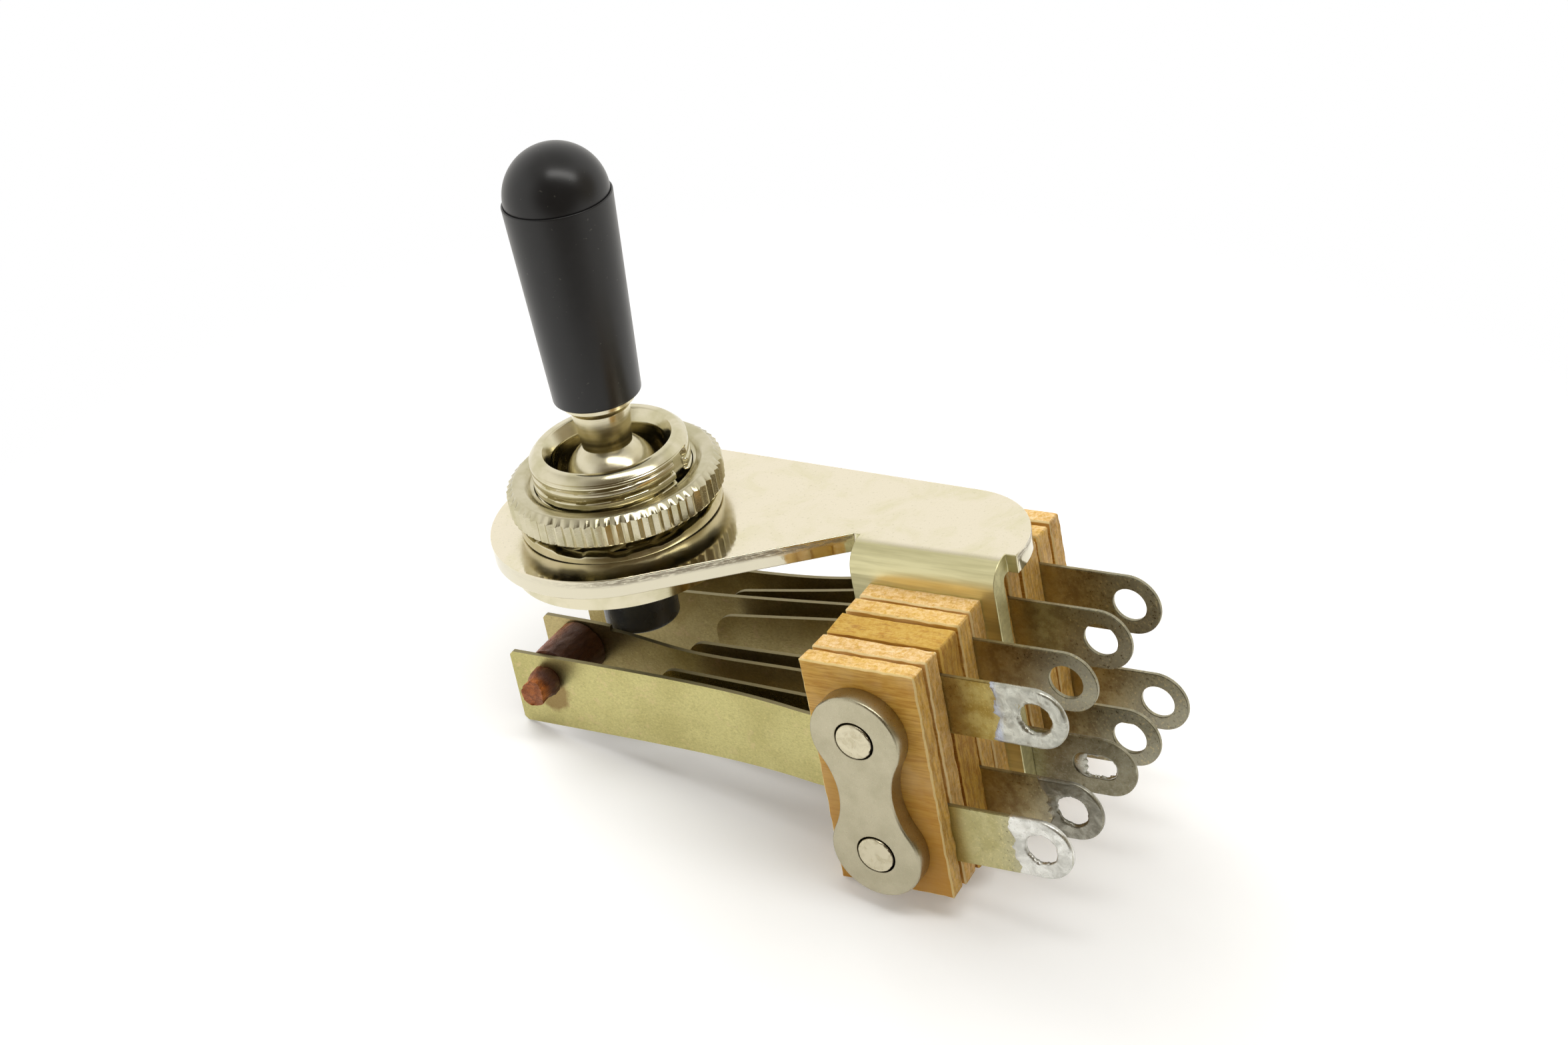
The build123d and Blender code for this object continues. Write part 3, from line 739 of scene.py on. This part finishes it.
# Bushing
def thread_radius(angle, z):
    """The bushing's outside: thread, groove under the lip, chamfered lip and keyway."""
    turns = z / THREAD_PITCH - angle / TURN
    from_valley = 2 * abs(turns % 1.0 - 0.5)
    valley = 1.0 - smooth_step(from_valley, 0.03, 0.46) + 0.2 * (1.0 - from_valley) ** 2
    fade = smooth_step(z, THREAD_END, THREAD_END - THREAD_FADE)
    radius = THREAD_R - THREAD_DEPTH * min(1.0, valley) * fade
    lip_z = BUSHING_TOP - LIP_H
    radius -= LIP_GROOVE_D * max(0.0, 1.0 - abs(z - lip_z + LIP_GROOVE_W) / LIP_GROOVE_W)
    up = max(0.0, z - lip_z) / LIP_H
    radius = min(radius, THREAD_R - LIP_W * (0.8 * up + 0.2 * up ** 4))
    turn = (angle - KEY_ANGLE + math.pi) % TURN - math.pi
    key_share = smooth_step(abs(turn), KEY_HALF_ANGLE + 0.04, KEY_HALF_ANGLE)
    if key_share > 0 and z < lip_z - 2 * LIP_GROOVE_W:
        radius += key_share * (min(radius, KEY_FLAT / math.cos(turn)) - radius)
    return radius


def build_bushing():
    """The CAD's flange and seat, with a threaded outside, a chamfered lip and a bevelled mouth."""
    source = tidy_copy("bushing")
    with editing(source) as bm:
        outside = [f for f in bm.faces if f.calc_center_median().z > 0.1 * MM
                   and all(v.co.xy.length > (BORE_R - 0.02) * MM for v in f.verts)]
        bmesh.ops.delete(bm, geom=outside, context="FACES")
    add("bushing_flange", source, "bushing", ("bushing",))
    smooth_by_angle(source)
    angles = [TURN * i / BUSHING_COLUMNS for i in range(BUSHING_COLUMNS)]
    for side in (-1, 1):
        for nudge in (-0.002, 0.002):
            angles.append(KEY_ANGLE + side * KEY_HALF_ANGLE + nudge)
    angles.sort()
    heights = [BUSHING_TOP * i / BUSHING_ROWS for i in range(BUSHING_ROWS + 1)]
    inside = rounded([
        (RING_INNER_R + 0.3, BUSHING_TOP), (RING_INNER_R, BUSHING_TOP, 0.12),
        (BORE_R, BUSHING_TOP - MOUTH_DEPTH, 0.12), (BORE_R, SEAT_TOP),
    ])
    vertices = []
    for angle in angles:
        outside = [(thread_radius(angle, z), z) for z in heights]
        vertices += round_axis(angle, outside + inside[1:])
    faces = grid_faces(len(angles), len(heights) + len(inside) - 1)
    piece("bushing_thread", vertices, faces, "bushing", "nickel_plate", limit=50.0)


# Nut and lock washer
def knurl_radius(angle):
    """How far out the nut reaches, with each groove a little different."""
    turn = angle / TURN * KNURL_COUNT
    ridge = math.floor(turn)
    offset = turn - ridge - 0.5 + 0.08 * hash_noise(ridge, 3.0)
    half_width = 0.47 + 0.06 * hash_noise(ridge, 7.0)
    depth = KNURL_DEPTH * (1.0 + 0.3 * hash_noise(ridge, 11.0))
    return NUT_R - depth * max(0.0, 1.0 - abs(offset) / half_width)


def build_nut():
    """A straight knurl of uneven ridges, a broken top edge and a bevelled mouth."""
    outline = rounded([
        (NUT_BORE_R, NUT_BOTTOM), (NUT_R - NUT_EDGE, NUT_BOTTOM, 0.05),
        (NUT_R, NUT_BOTTOM + NUT_EDGE, 0.06), (NUT_R, NUT_TOP - NUT_CHAMFER_H, 0.04),
        (NUT_R - NUT_CHAMFER_W, NUT_TOP, 0.12), (NUT_BEVEL_R, NUT_TOP, 0.12),
        (NUT_BEVEL_LOW_R, NUT_TOP - NUT_BEVEL_DEPTH, 0.1), (NUT_BORE_R, NUT_TOP - NUT_BEVEL_DEPTH),
    ], steps=3)
    columns = KNURL_COUNT * 12
    vertices = []
    for c in range(columns):
        a = TURN * c / columns
        limit = knurl_radius(a)
        cut = [(min(r, limit) if r > NUT_BEVEL_R + 0.4 else r, z) for r, z in outline]
        vertices += round_axis(a, cut)
    faces = grid_faces(columns, len(outline), close_rows=True)
    piece("nut_knurled", vertices, faces, "nut", "nickel_plate", replaces=("knurled_nut",), limit=30.0)


def build_lock_washer():
    """A rim whose top edge steps up at each tooth, and twelve twisted teeth inside."""
    per_wave = 24
    columns = WASHER_WAVES * per_wave
    vertices = []
    for c in range(columns):
        a = TURN * c / columns
        wave = c // per_wave
        phase = (c / per_wave + 0.12 * hash_noise(wave, 5.0)) % 1.0
        step = min(1.0, max(0.0, (0.5 - abs(phase - 0.5)) * 9.0 - 1.6))
        lift = WASHER_WAVE_H * step * (0.8 + 0.4 * hash_noise(wave, 2.0))
        bow = WASHER_BOW * math.cos(a - WASHER_BOW_ANGLE) ** 2
        low = 0.25 * bow
        top = WASHER_T + lift + bow
        section = rounded([(WASHER_RIM_R, low), (WASHER_R, low, 0.06), (WASHER_R, top, 0.1),
                           (WASHER_RIM_R, top + 0.08, 0.06), (WASHER_RIM_R, low + 0.05)], steps=2)
        vertices += round_axis(a, section)
    faces = grid_faces(columns, len(vertices) // columns, close_rows=True)
    dx, dy, dz = WASHER_TOOTH
    corners = [Vector((x, y, z)) for x in (-dx, dx) for y in (-dy, dy) for z in (-dz, dz)]
    box = [(0, 1, 3, 2), (4, 6, 7, 5), (0, 4, 5, 1), (2, 3, 7, 6), (0, 2, 6, 4), (1, 5, 7, 3)]
    twist = Matrix.Rotation(WASHER_TOOTH_TWIST, 3, "X")
    for i in range(WASHER_WAVES):
        faces += [tuple(len(vertices) + k for k in f) for f in box]
        turn = Matrix.Rotation(TURN * i / WASHER_WAVES, 3, "Z")
        vertices += [tuple(turn @ (twist @ corner + Vector(WASHER_TOOTH_AT))) for corner in corners]
    piece("washer_toothed", vertices, faces, "washer", "nickel_plate", replaces=("lock_washer",))


# Lever, tip and cam, leaning a little about the ball's centre
def lean_matrix():
    """Leans the lever's pieces about the ball's centre, as in the photograph."""
    pivot = Vector((0.0, 0.0, PIVOT_Z * MM))
    lean = Matrix.Rotation(LEAN, 4, "X")
    return Matrix.Translation(pivot) @ lean @ Matrix.Translation(-pivot)


def build_lever():
    rides = {"matrix": lean_matrix(), "body": "lever"}
    shank_low = CAM_TOP - SHANK_IN_CAM
    foot = math.degrees(math.acos(SHANK_R / BALL_R))
    head = math.degrees(math.acos(NECK_LOW_R / BALL_R))
    groove_r = NECK_HIGH_R - GROOVE_D
    outline = [(0.0, shank_low), (SHANK_R, shank_low)]
    outline += arc_points(PIVOT_Z, BALL_R, -foot, head, 40)
    outline += rounded([
        (NECK_LOW_R, PIVOT_Z + BALL_R * math.sin(math.radians(head)) + 0.02),
        (NECK_LOW_R + 0.03, NECK_FLARE_Z, 0.1), (NECK_HIGH_R, COLLAR_Z - 2.3 * GROOVE_W, 0.04),
        (groove_r, COLLAR_Z - 2.2 * GROOVE_W, 0.02), (groove_r, COLLAR_Z - GROOVE_W, 0.02),
        (COLLAR_LOW_R - 0.25, COLLAR_Z, 0.04), (COLLAR_LOW_R, COLLAR_Z, 0.06),
        (COLLAR_R, TIP_BOTTOM + 0.02), (0.0, TIP_BOTTOM + 0.02),
    ], steps=4)
    lathe("lever_turned", outline, "lever", "lever_metal", replaces=("lever",), **rides)
    tip = rounded([
        (0.0, TIP_BOTTOM), (TIP_LOW_R, TIP_BOTTOM, 0.22), (TIP_SEAM_R, TIP_SEAM_Z, 0.12),
        (DOME_R + 0.02, TIP_SEAM_Z - 0.02, 0.03), (DOME_R - 0.02, TIP_SEAM_Z - 0.14),
    ], steps=6)
    tip += arc_points(DOME_Z, DOME_R, -3.0, 90.0, 44)
    lathe("tip_moulded", tip, "tip", "black_plastic", replaces=("lever_tip",), **rides)
    cam = rounded([
        (0.0, CAM_BOTTOM), (CAM_LOW_R, CAM_BOTTOM, 0.35), (CAM_LOW_R, CAM_STEP_LOW_Z, 0.2),
        (CAM_R, CAM_STEP_TOP_Z, 0.2), (CAM_R, CAM_TOP, 0.15), (0.0, CAM_TOP),
    ])
    lathe("cam_roller", cam, "cam", "cam_plastic", replaces=("lever_cam",), **rides)


# Spacers: sawn blocks with worn, slightly uneven edges
SPACER_LOOKS = {
    "near": ("pale", "tan", "amber", "pale", "tan"),
    "far": ("tan", "pale", "tan", "tan", "pale"),
}


def build_spacers():
    for side, kinds in SPACER_LOOKS.items():
        for i, look in enumerate(kinds):
            node = f"{side}_spacer_{i + 1}"
            low, high = box_mm(node)
            middle, half = (low + high) / 2, (high - low) / 2
            mesh = tidy_copy(node)
            sliced(mesh, 0, low.x, high.x, 0.5)
            sliced(mesh, 2, low.z, high.z, 0.5)
            seed = i * 7.3 + (50.0 if side == "far" else 0.0)
            cuts = {(axis, end): 0.09 + 0.09 * hash_noise(seed, axis * 3.1 + end)
                    for axis in (0, 2) for end in (0, 1)}
            for vertex in mesh.vertices:
                p = vertex.co * PER_M
                inward = Vector((0.0, 0.0, 0.0))
                for axis in (0, 2):
                    outward = p[axis] - middle[axis]
                    if abs(outward) / half[axis] > 0.97:
                        wear = cuts[axis, int(p[axis] > middle[axis])]
                        wear += 0.09 * noise.noise(Vector((p.x * 1.3, p.y * 3.0, p.z * 1.3 + seed)))
                        inward[axis] = -math.copysign(max(0.0, wear), outward)
                vertex.co = (p + inward) * MM
            made = add("block_" + node, mesh, look, (node,))
            edge_bevel(made, 0.1, angle=40.0)


# Leaves: each bends from the stack to its pusher
def blade_strips(mesh, start, stop, step):
    """Cuts a blade at even steps and lays each strip flat between its cuts, so that it bends cleanly."""
    count = max(2, round((stop - start) / step))
    cuts = [start + (stop - start) * i / count for i in range(1, count)]
    sliced(mesh, 0, start, stop, step)
    sides = []
    for x in cuts:
        at_cut = [v.co * PER_M for v in mesh.vertices if abs(v.co.x * PER_M - x) < 1e-3]
        top = max(p.z for p in at_cut)
        rim = [p.y for p in at_cut if p.z > top - 1e-2]
        sides.append((min(rim), max(rim)))
    for vertex in mesh.vertices:
        x, y = vertex.co.x * PER_M, vertex.co.y * PER_M
        if x > cuts[-1]:
            continue
        k = min(max(int((x - cuts[0]) / (cuts[1] - cuts[0])), 0), len(cuts) - 2)
        t = (x - cuts[k]) / (cuts[k + 1] - cuts[k])
        levels = [a + (b - a) * t for a, b in zip(sides[k], sides[k + 1])]
        vertex.co.y = min(levels, key=lambda level: abs(level - y)) * MM
    with editing(mesh) as bm:
        at_cut = {v for v in bm.verts if min(abs(v.co.x * PER_M - x) for x in cuts) < 1e-3}
        inside = [v for v in bm.verts if v not in at_cut and v.co.x < cuts[-1] * MM]
        between = [e for e in bm.edges if not all(v in at_cut for v in e.verts)]
        bmesh.ops.dissolve_limit(bm, angle_limit=FLATNESS, verts=inside, edges=between)
        spare = [v for v in at_cut
                 if v.is_valid and len(v.link_edges) == 2 and v.calc_edge_angle(math.pi) < 0.01]
        bmesh.ops.dissolve_verts(bm, verts=spare)
        bmesh.ops.recalc_face_normals(bm, faces=bm.faces)
    return mesh


def keep_rest_places(mesh):
    """Stores each point's place at rest, so that a bent leaf keeps its marks."""
    rest = mesh.attributes.new("rest", "FLOAT_VECTOR", "POINT")
    for i, vertex in enumerate(mesh.vertices):
        rest.data[i].vector = vertex.co


LEAF_LOOKS = {"near_leaf_d": "lit_leaf", "near_leaf_c": "brass_leaf"}


def bending(prefix, node, mesh, look, limit):
    """A leaf or contact piece attached to no body, shaded smooth by angle, with its placement baked into
    its mesh.
    """
    made = add(prefix + node, mesh, look, (node,), body=None)
    smooth_by_angle(mesh, limit)
    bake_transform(made)


def build_leaves():
    for side in ("near", "far"):
        for name in "abcd":
            node = f"{side}_leaf_{name}"
            mesh = blade_strips(tidy_copy(node), box_mm(node)[0].x, STACK_X0 + 0.5, 0.6)
            bevelled(mesh, 0.05, STACK_X0 + 0.6)
            keep_rest_places(mesh)
            bending("bent_", node, mesh, LEAF_LOOKS.get(node, "leaf"), 20.0)
            contact = f"{side}_contact_{name}"
            bending("button_", contact, tidy_copy(contact), "contact", 38.0)


# Pushers: fibre rods, each with a broken shoulder and a chipped end outside the leaf
def build_pushers():
    for side in ("near", "far"):
        node = f"{side}_pusher"
        low, high = box_mm(node)
        outside = pusher_reach(side) - STUD_OUT + 0.06
        mesh = tidy_copy(node)
        face = math.copysign(outside, low.y)
        sliced(mesh, 1, face - 1.0, face + 1.0, 1.0)
        sliced(mesh, 1, face - 0.9, face + 1.1, 1.0)
        sliced(mesh, 1, low.y, high.y, 0.3)
        sliced(mesh, 2, low.z, high.z, 0.35)
        sliced(mesh, 0, low.x, high.x, 0.35)
        seed = 3.0 if side == "near" else 9.0
        for vertex in mesh.vertices:
            p = vertex.co * PER_M
            middle = Vector((PUSHER_X, p.y, (low.z + high.z) / 2))
            outward = p - middle
            lump = abs(0.12 * noise.fractal(Vector((p.x, p.y * 0.8, p.z + seed)) * 1.3, 0.8, 2.1, 4))
            along = abs(p.y) - outside
            if along > 0.05 and outward.length > 0.3:
                chips = noise.cell(Vector((p.x * 1.3 + seed, p.y * 0.9, p.z * 1.3)))
                shoulder = STUD_HEAD_R - 0.22 * smooth_step(along, 0.9, 1.3)
                growth = shoulder / STUD_R * (1.0 - 0.10 * chips - lump)
                p = middle + outward * growth
                p.y -= math.copysign(0.5 * lump + 0.25 * chips * (along > 1.9), p.y)
            elif outward.length > 0.3 and along < -0.6:
                p -= outward.normalized() * lump
            vertex.co = p * MM
        made = add("fibre_" + node, mesh, side + "_fibre", (node,), body=node)
        smooth_by_angle(made.data, 50.0)


# Clamp plates, rivets and the ground lug keep the CAD's shape, and the hidden sleeves their nodes
def build_clamps():
    for side in ("near", "far"):
        finished(f"{side}_clamp_plate", "clamp", 0.12)
    finished("ground_lug", "tab", 0.05)
    for level in ("upper", "lower"):
        finished(f"{level}_rivet", "rivet", 0.16)
        materials = nodes[f"{level}_sleeve"].data.materials
        materials.clear()
        materials.append(looks["sleeve"])


# Solder
def solder_coat(name, leaf, tab_z, left_reach, thickness, seed, look="solder"):
    """A lumpy coat that wraps a tab round its eye, and reaches ragged towards the stack."""
    past_eye = (EYE_X + EYE_R + 0.3) * MM
    sides = [v.co.y * PER_M for v in nodes[leaf].data.vertices if v.co.x > past_eye]
    middle = (min(sides) + max(sides)) / 2
    half_t = LEAF_T / 2
    columns, across = 96, 14
    vertices = []
    for c in range(columns):
        a = TURN * c / columns
        ca, sa = math.cos(a), math.sin(a)
        wobble = noise.fractal(Vector((ca * 1.6, sa * 1.6, seed)), 0.8, 2.1, 4)
        inner = EYE_R - 0.06 - 0.14 * abs(wobble)
        outer = TAB_HALF_W + 0.03
        fades = False
        if ca < 0:
            ragged = left_reach * (1.0 + 0.35 * wobble) / max(-ca, 1e-3)
            outer = min(outer / max(abs(sa), 1e-3), ragged)
            fades = outer * abs(sa) < TAB_HALF_W - 0.05
        for side in (1, -1):
            for k in range(across):
                t = k / (across - 1)
                s = t if side > 0 else 1 - t
                r = inner + (outer - inner) * s
                x, z = EYE_X + r * ca, tab_z + r * sa
                lump = noise.fractal(Vector((x * 0.9, side * 3.0 + seed, z * 0.9)), 0.8, 2.1, 5)
                rim = math.sin(math.pi * min(1.0, max(0.0, s))) ** 0.35
                if fades:
                    rim = min(rim, (1.0 - s) * 2.2)
                sunk = 0.35 if fades and s > 0.9 else 0.0
                height = half_t + thickness * (rim * (0.8 + 0.9 * lump) - sunk)
                if s < 0.04 or (s > 0.96 and not fades):
                    height = half_t * 0.6
                vertices.append((x, middle + side * height, z))
    faces = grid_faces(columns, across * 2, close_rows=True)
    piece(name, vertices, faces, look, "tab_metal", limit=60.0)


def slot_solder():
    """What is left in the ground lug's slot: a blob at its inner end and a ragged rim round the rest."""
    low, high = box_mm("ground_lug")
    middle = (low.y + high.y) / 2
    columns, across = 96, 10
    vertices = []
    for c in range(columns):
        a = TURN * c / columns
        ca, sa = math.cos(a), math.sin(a)
        straight = SLOT_HALF_L - SLOT_HALF_W
        wall = SLOT_HALF_W / max(abs(sa), 1e-3)
        if wall * abs(ca) > straight:
            side = straight * abs(ca)
            wall = side + math.sqrt(max(0.0, side * side - straight ** 2 + SLOT_HALF_W ** 2))
        ragged = noise.fractal(Vector((ca * 2.6, sa * 2.6, 5.0)), 0.7, 2.1, 5)
        inner = wall - 0.1 - 0.2 * abs(ragged)
        if ca < -0.2:
            inner = min(inner, (0.62 + 0.16 * ragged) / -ca)
        for k in range(across):
            turn = TURN * k / across
            r = (wall + 0.06 + inner) / 2 + (wall + 0.06 - inner) / 2 * math.cos(turn)
            lump = noise.noise(Vector((r * ca * 1.5, r * sa * 1.5, 2.0)))
            y = middle + (0.13 + 0.05 * lump) * math.sin(turn)
            vertices.append((SLOT_X + r * ca, y, LOWER_TAB_Z + r * sa))
    faces = grid_faces(columns, across, close_rows=True)
    piece("solder_slot", vertices, faces, "solder", "tab_metal", limit=70.0)


def build_solder():
    solder_coat("solder_near_c", "near_leaf_c", UPPER_TAB_Z, 3.3, 0.10, 1.0)
    solder_coat("solder_near_d", "near_leaf_d", LOWER_TAB_Z, 2.4, 0.09, 4.0, look="bright_solder")
    solder_coat("solder_near_b", "near_leaf_b", LOWER_TAB_Z, 2.2, 0.05, 8.0, look="dull_solder")
    slot_solder()


# Stage: a patch of table under the stack's lower edge, fading out before the view's edge
TABLE_NORMAL = Vector((0.237, 0.0, 0.9715))
TABLE_POINT = Vector((21.2, 0.0, -21.52)) * MM
TABLE_SIZE = 260.0
FADE_FROM = 44.0
FADE_TO = 84.0
TABLE_GLOW = 0.19


def build_table():
    half = TABLE_SIZE / 2
    mesh = bpy.data.meshes.new("table")
    corners = [(-half, -half, 0), (half, -half, 0), (half, half, 0), (-half, half, 0)]
    mesh.from_pydata([Vector(c) * MM for c in corners], [], [(0, 1, 2, 3)])
    table = placed("table", mesh)
    table.rotation_mode = "QUATERNION"
    table.rotation_quaternion = TABLE_NORMAL.to_track_quat("Z", "Y")
    table.location = TABLE_POINT
    g = Look("white_table", {"Base Color": (0.885, 0.895, 0.915, 1.0), "Roughness": 0.6,
                             "Specular IOR Level": 0.2})
    reach = g.vector("LENGTH", g.place)
    paths = g.node("LightPath")
    seen = g.maths("MAXIMUM", paths.outputs["Is Camera Ray"], paths.outputs["Is Glossy Ray"])
    white = (1.0, 1.0, 1.0, 1.0)
    glow = g.fill(g.node("Emission"), ("Color", "Strength"), white, g.times(seen, TABLE_GLOW))
    lit = g.fill(g.node("AddShader"), (0, 1), g.shader.outputs[0], glow.outputs[0])
    clear = g.node("BsdfTransparent")
    share = g.spread(reach, FADE_FROM, FADE_TO)
    fade = g.fill(g.node("MixShader"), (0, 1, 2), share, lit.outputs[0], clear.outputs[0])
    g.put(g.tree.nodes["Material Output"].inputs["Surface"], fade.outputs[0])
    mesh.materials.append(g.material)


# World: white to the camera; otherwise a pale room, dim and brown on the camera's side
DIM_TOWARDS = Vector((0.60, -0.72, 0.34)).normalized()
DIM_SIDE = Vector((0.93, 0.30, 0.22)).normalized()
LAMP_SIDE = Vector((0.85, 0.5, -0.17))
LAMPS_AROUND = Vector((12.0, 0.0, 0.0)) * MM


def build_world():
    world = bpy.data.worlds.new("pale_room")
    bpy.context.scene.world = world
    world.use_nodes = True
    world.node_tree.nodes.clear()
    g = Graph(world.node_tree)
    way = g.node("TexCoord").outputs["Generated"]
    room = (1.06, 1.04, 0.99)
    for direction, start, full, colour in (((0.0, 0.0, 1.0), 0.55, 0.95, (0.62, 0.60, 0.54)),
                                           (DIM_SIDE, 0.80, 0.98, (0.40, 0.34, 0.23)),
                                           (DIM_TOWARDS, 0.38, 0.88, (0.13, 0.10, 0.06))):
        room = g.over(room, colour, g.vector("DOT_PRODUCT", way, direction), start, full)
    light = g.fill(g.node("Background"), ("Color",), room).outputs[0]
    white = g.fill(g.node("Background"), ("Color",), (1.0, 1.0, 1.0, 1.0)).outputs[0]
    seen = g.node("LightPath").outputs["Is Camera Ray"]
    pick = g.fill(g.node("MixShader"), (0, 1, 2), seen, light, white)
    g.put(g.node("OutputWorld").inputs["Surface"], pick.outputs[0])


def area_lamp(name, direction, distance_mm, size_mm, watts, colour):
    """A soft lamp in a direction from the object, with its long side along LAMP_SIDE."""
    data = bpy.data.lights.new(name, "AREA")
    data.shape = "RECTANGLE"
    data.size, data.size_y = size_mm[0] * MM, size_mm[1] * MM
    data.energy = watts
    data.color = colour
    lamp = placed(name, data)
    back = Vector(direction).normalized()
    side = (LAMP_SIDE - back * LAMP_SIDE.dot(back)).normalized()
    turned = Matrix((side, back.cross(side), back)).transposed()
    at = LAMPS_AROUND + back * distance_mm * MM
    lamp.matrix_world = Matrix.Translation(at) @ turned.to_4x4()
    return lamp


def build_lights():
    strip_way, window_way = (0.455, -0.08, 0.885), (-0.62, 0.28, 0.73)
    area_lamp("ceiling_strip", strip_way, 420.0, (420.0, 90.0), 0.75, (1.0, 0.99, 0.96))
    window = area_lamp("window", window_way, 450.0, (300.0, 260.0), 1.1, (1.0, 1.0, 0.98))
    window.visible_glossy = False


def build_camera():
    data = bpy.data.cameras.new("camera")
    data.sensor_width = 36.0
    data.lens = CAMERA_LENS
    data.clip_start, data.clip_end = 0.01, 5.0
    camera = placed("camera", data)
    camera.location = CAMERA_AT
    camera.rotation_mode = "QUATERNION"
    look = (CAMERA_LOOKS_AT - CAMERA_AT).to_track_quat("-Z", "Y")
    camera.rotation_quaternion = look @ Quaternion((0.0, 0.0, 1.0), -CAMERA_ROLL)
    bpy.context.scene.camera = camera


build_camera()
finished("frame_bracket", "plate", 0.1)
build_bushing()
build_nut()
build_lock_washer()
build_lever()
build_spacers()
build_leaves()
build_pushers()
build_clamps()
build_solder()
build_table()
build_world()
build_lights()
bpy.context.scene.view_settings.view_transform = "Standard"
